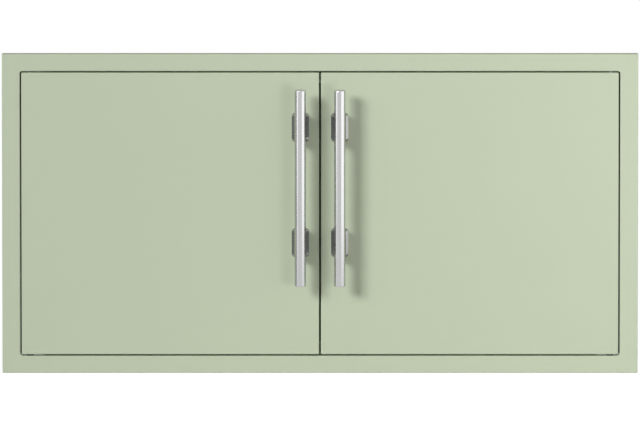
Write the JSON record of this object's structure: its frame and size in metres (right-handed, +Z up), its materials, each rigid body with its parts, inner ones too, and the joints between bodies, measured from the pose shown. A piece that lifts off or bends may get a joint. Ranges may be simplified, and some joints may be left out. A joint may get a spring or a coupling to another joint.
{
  "type": "access door",
  "caption": "Flush access door in a folded face frame, with hinged double-skin leaves, upright bar handles, magnetic catches and sprung release pivots.",
  "frame": {"origin": "centre of the frame, in the plane where the frame's lip meets the wall", "axes": "+X along the width to the right seen from the front, +Y back into the wall, +Z up"},
  "size_m": [1.067, 0.1155, 0.54],
  "materials": {
    "sage_powder_coat": "fine satin powder coat",
    "brushed_stainless": "brushed along its length",
    "zinc_plated_steel": "bright zinc plating",
    "turned_steel": "turned",
    "spring_steel": "drawn wire",
    "black_nylon": "moulded",
    "black_rubber": "soft matt",
    "catch_plastic": "moulded",
    "ferrite_magnet": "ground ferrite",
    "plug_plastic": "moulded"
  },
  "bodies": {
    "frame": {"face_frame": "sage_powder_coat", "stop_rail_top": "sage_powder_coat", "stop_rail_bottom": "sage_powder_coat", "catch_screws": "zinc_plated_steel", "bumper_top_left": "black_rubber", "bumper_top_right": "black_rubber", "bumper_bottom_left": "black_rubber", "bumper_bottom_right": "black_rubber", "pivot_plate_lower_left": "zinc_plated_steel", "pivot_plate_lower_right": "zinc_plated_steel", "pivot_plate_upper_left": "zinc_plated_steel", "pivot_plate_upper_right": "zinc_plated_steel", "pivot_pin_left": "zinc_plated_steel", "pivot_pin_right": "zinc_plated_steel", "thrust_washer_left": "black_nylon", "thrust_washer_right": "black_nylon", "upper_bushing_left": "black_nylon", "upper_bushing_right": "black_nylon", "catch_body_left": "catch_plastic", "catch_body_right": "catch_plastic", "catch_magnet_left": "ferrite_magnet", "catch_magnet_right": "ferrite_magnet", "catch_poles_left": "zinc_plated_steel", "catch_poles_right": "zinc_plated_steel"},
    "left_door": {"door_skin_left": "sage_powder_coat", "door_liner_left": "sage_powder_coat", "door_hinge_plate_left": "zinc_plated_steel", "lower_bushing_left": "black_nylon", "pin_bracket_left": "zinc_plated_steel", "pin_spring_left": "spring_steel", "strike_plate_left": "zinc_plated_steel", "strike_rivets_left": "zinc_plated_steel", "handle_channel_left": "zinc_plated_steel", "handle_bar_left": "brushed_stainless", "handle_post_lower_left": "brushed_stainless", "handle_post_upper_left": "brushed_stainless", "handle_screws_left": "zinc_plated_steel", "hole_plugs_left": "plug_plastic"},
    "right_door": {"door_skin_right": "sage_powder_coat", "door_liner_right": "sage_powder_coat", "door_hinge_plate_right": "zinc_plated_steel", "lower_bushing_right": "black_nylon", "pin_bracket_right": "zinc_plated_steel", "pin_spring_right": "spring_steel", "strike_plate_right": "zinc_plated_steel", "strike_rivets_right": "zinc_plated_steel", "handle_channel_right": "zinc_plated_steel", "handle_bar_right": "brushed_stainless", "handle_post_lower_right": "brushed_stainless", "handle_post_upper_right": "brushed_stainless", "handle_screws_right": "zinc_plated_steel", "hole_plugs_right": "plug_plastic"},
    "left_release": {"release_pin_left": "zinc_plated_steel", "release_knob_left": "turned_steel"},
    "right_release": {"release_pin_right": "zinc_plated_steel", "release_knob_right": "turned_steel"}
  },
  "joints": [
    {"name": "left_door_hinge", "type": "hinge", "parent": "frame", "child": "left_door", "pos_m": [-0.487, -0.008, 0], "axis": [0, 0, -1], "range_deg": [0, 115]},
    {"name": "right_door_hinge", "type": "hinge", "parent": "frame", "child": "right_door", "pos_m": [0.487, -0.008, 0], "axis": [0, 0, 1], "range_deg": [0, 115]},
    {"name": "left_release_slide", "type": "slide", "parent": "left_door", "child": "left_release", "axis": [0, 0, -1], "range_m": [0, 0.008], "stiffness_N_per_m": 500, "springref_m": -0.006, "deforming": ["pin_spring_left"]},
    {"name": "right_release_slide", "type": "slide", "parent": "right_door", "child": "right_release", "axis": [0, 0, -1], "range_m": [0, 0.008], "stiffness_N_per_m": 500, "springref_m": -0.006, "deforming": ["pin_spring_right"]}
  ]
}
